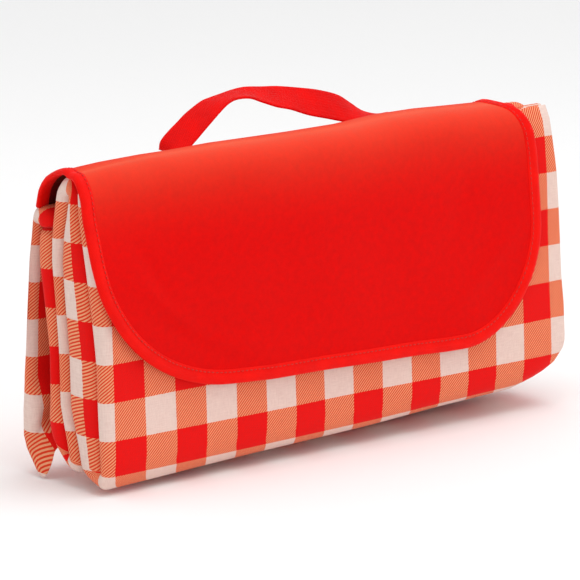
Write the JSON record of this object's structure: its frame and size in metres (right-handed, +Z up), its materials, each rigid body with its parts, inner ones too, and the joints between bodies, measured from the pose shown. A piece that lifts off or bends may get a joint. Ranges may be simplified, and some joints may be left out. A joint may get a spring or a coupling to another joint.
{
  "type": "folded picnic blanket",
  "caption": "Quilted gingham picnic blanket folded into an upright bundle, with a round-cornered flap cover that closes over the front and a webbing carry handle.",
  "frame": {"origin": "on the ground, under the middle of the folded blanket's box", "axes": "+Z up, +X along the long folds to the right as seen from the front, +Y to the back; the flap closes over the -Y side"},
  "size_m": [0.378, 0.0878, 0.2228],
  "materials": {
    "gingham": "yarn-dyed twill gingham in red and off-white, matt",
    "foam": "thin white foam wadding, matt",
    "film": "grey waterproof backing film, satin",
    "cover": "plain red brushed polyester, fine mottled grain, matt",
    "lining": "dark red woven lining, matt",
    "binding": "red bias tape, slightly shiny, one row of stitching",
    "closure": "red hook and loop tape, matt",
    "webbing": "red flat-woven webbing, ribbed, slightly shiny"
  },
  "bodies": {
    "bundle": {"leaf_1_gingham": "gingham", "leaf_1_foam": "foam", "leaf_1_film": "film", "leaf_2_gingham": "gingham", "leaf_2_foam": "foam", "leaf_2_film": "film", "leaf_3_gingham": "gingham", "leaf_3_foam": "foam", "leaf_3_film": "film", "leaf_4_gingham": "gingham", "leaf_4_foam": "foam", "leaf_4_film": "film", "front_foot_bend_gingham": "gingham", "front_foot_bend_foam": "foam", "front_foot_bend_film": "film", "front_top_bend_gingham": "gingham", "front_top_bend_foam": "foam", "front_top_bend_film": "film", "rear_foot_bend_gingham": "gingham", "rear_foot_bend_foam": "foam", "rear_foot_bend_film": "film", "rear_top_bend_gingham": "gingham", "rear_top_bend_foam": "foam", "rear_top_bend_film": "film", "flap_top_lining": "lining", "flap_top_cover": "cover", "flap_top_binding_left": "binding", "flap_top_binding_right": "binding", "loop_patch_left": "closure", "loop_patch_right": "closure", "handle_tab_left": "webbing", "handle_tab_right": "webbing"},
    "flap": {"flap_front_lining": "lining", "flap_front_cover": "cover", "flap_front_binding": "binding", "hook_patch_left": "closure", "hook_patch_right": "closure"},
    "handle": {"handle_webbing": "webbing"},
    "rear_leaf": {"leaf_5_gingham": "gingham", "leaf_5_foam": "foam", "leaf_5_film": "film"}
  },
  "joints": [
    {"name": "flap_hinge", "type": "hinge", "parent": "bundle", "child": "flap", "pos_m": [0, -0.03829, 0.18322], "axis": [-1, 0, 0], "range_deg": [0, 160]},
    {"name": "handle_tilt", "type": "hinge", "parent": "bundle", "child": "handle", "pos_m": [0.0025, 0.01599, 0.19424], "axis": [-1, 0, 0], "range_deg": [-15, 60], "stiffness_Nm_per_rad": 0.03},
    {"name": "rear_leaf_hinge", "type": "hinge", "parent": "bundle", "child": "rear_leaf", "pos_m": [0, 0.0329, 0.15839], "axis": [1, 0, 0], "range_deg": [0, 60]}
  ]
}
